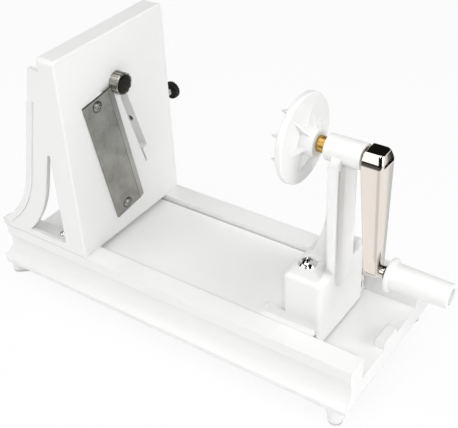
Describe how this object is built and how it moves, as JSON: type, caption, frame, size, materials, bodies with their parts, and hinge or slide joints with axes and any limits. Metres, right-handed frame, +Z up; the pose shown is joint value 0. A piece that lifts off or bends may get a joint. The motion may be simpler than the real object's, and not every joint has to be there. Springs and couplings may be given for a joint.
{
  "type": "spiralizer",
  "caption": "Hand-cranked countertop spiral slicer: white railed base, upright plate with a slanted steel blade, and a sliding carriage with pronged wheel, crank and grip.",
  "frame": {"origin": "middle of the bounding box, on the plane the foot pads stand on", "axes": "+X along the base from the blade frame to the crank, +Y across the base towards the clamp knob, +Z up"},
  "size_m": [0.404, 0.1544, 0.238],
  "materials": {
    "white_plastic": "moulded white plastic with a soft gloss",
    "foot_rubber": "pale grey rubber",
    "blade_steel": "brushed stainless steel",
    "screw_steel": "plain bright steel",
    "chrome": "polished chrome",
    "brass": "turned brass",
    "black_plastic": "black moulded plastic"
  },
  "bodies": {
    "base": {"base_shell": "white_plastic", "foot_near_left": "white_plastic", "foot_far_left": "white_plastic", "foot_near_right": "white_plastic", "foot_far_right": "white_plastic", "foot_pads": "foot_rubber", "foot_screws": "screw_steel", "blade_frame": "white_plastic", "frame_screws": "screw_steel", "slicing_blade": "blade_steel", "blade_screws": "screw_steel", "core_tube": "blade_steel"},
    "carriage": {"sled": "white_plastic", "upright": "white_plastic", "carriage_bolts": "chrome", "carriage_nuts": "screw_steel", "front_bush": "brass", "rear_bush": "brass"},
    "crank": {"spindle": "screw_steel", "thrust_collar": "brass", "pronged_wheel": "white_plastic", "prongs": "blade_steel", "crank_arm": "chrome", "grub_screw": "screw_steel", "handle_pin": "screw_steel", "handle_washer": "black_plastic"},
    "grip": {"handle_grip": "white_plastic"},
    "clamp_screw": {"clamp_stud": "screw_steel"},
    "clamp_head": {"clamp_knob": "black_plastic"}
  },
  "joints": [
    {"name": "carriage_slide", "type": "slide", "parent": "base", "child": "carriage", "axis": [-1, 0, 0], "range_m": [-0.035, 0.15]},
    {"name": "crank_turn", "type": "hinge", "parent": "carriage", "child": "crank", "pos_m": [0.1145, -0.00375, 0.1935], "axis": [1, 0, 0], "continuous": true},
    {"name": "grip_turn", "type": "hinge", "parent": "crank", "child": "grip", "pos_m": [0.176, -0.00375, 0.099], "axis": [1, 0, 0], "continuous": true},
    {"name": "clamp_feed", "type": "slide", "parent": "base", "child": "clamp_screw", "axis": [0, -1, 0], "range_m": [0, 0.008]},
    {"name": "clamp_turn", "type": "hinge", "parent": "clamp_screw", "child": "clamp_head", "pos_m": [-0.107, 0.07425, 0.148], "axis": [0, -1, 0], "range_deg": [0, 2881]}
  ],
  "couplings": [
    {"joint": "clamp_turn", "follows": "clamp_feed", "rad_per_m": 6283.2}
  ]
}
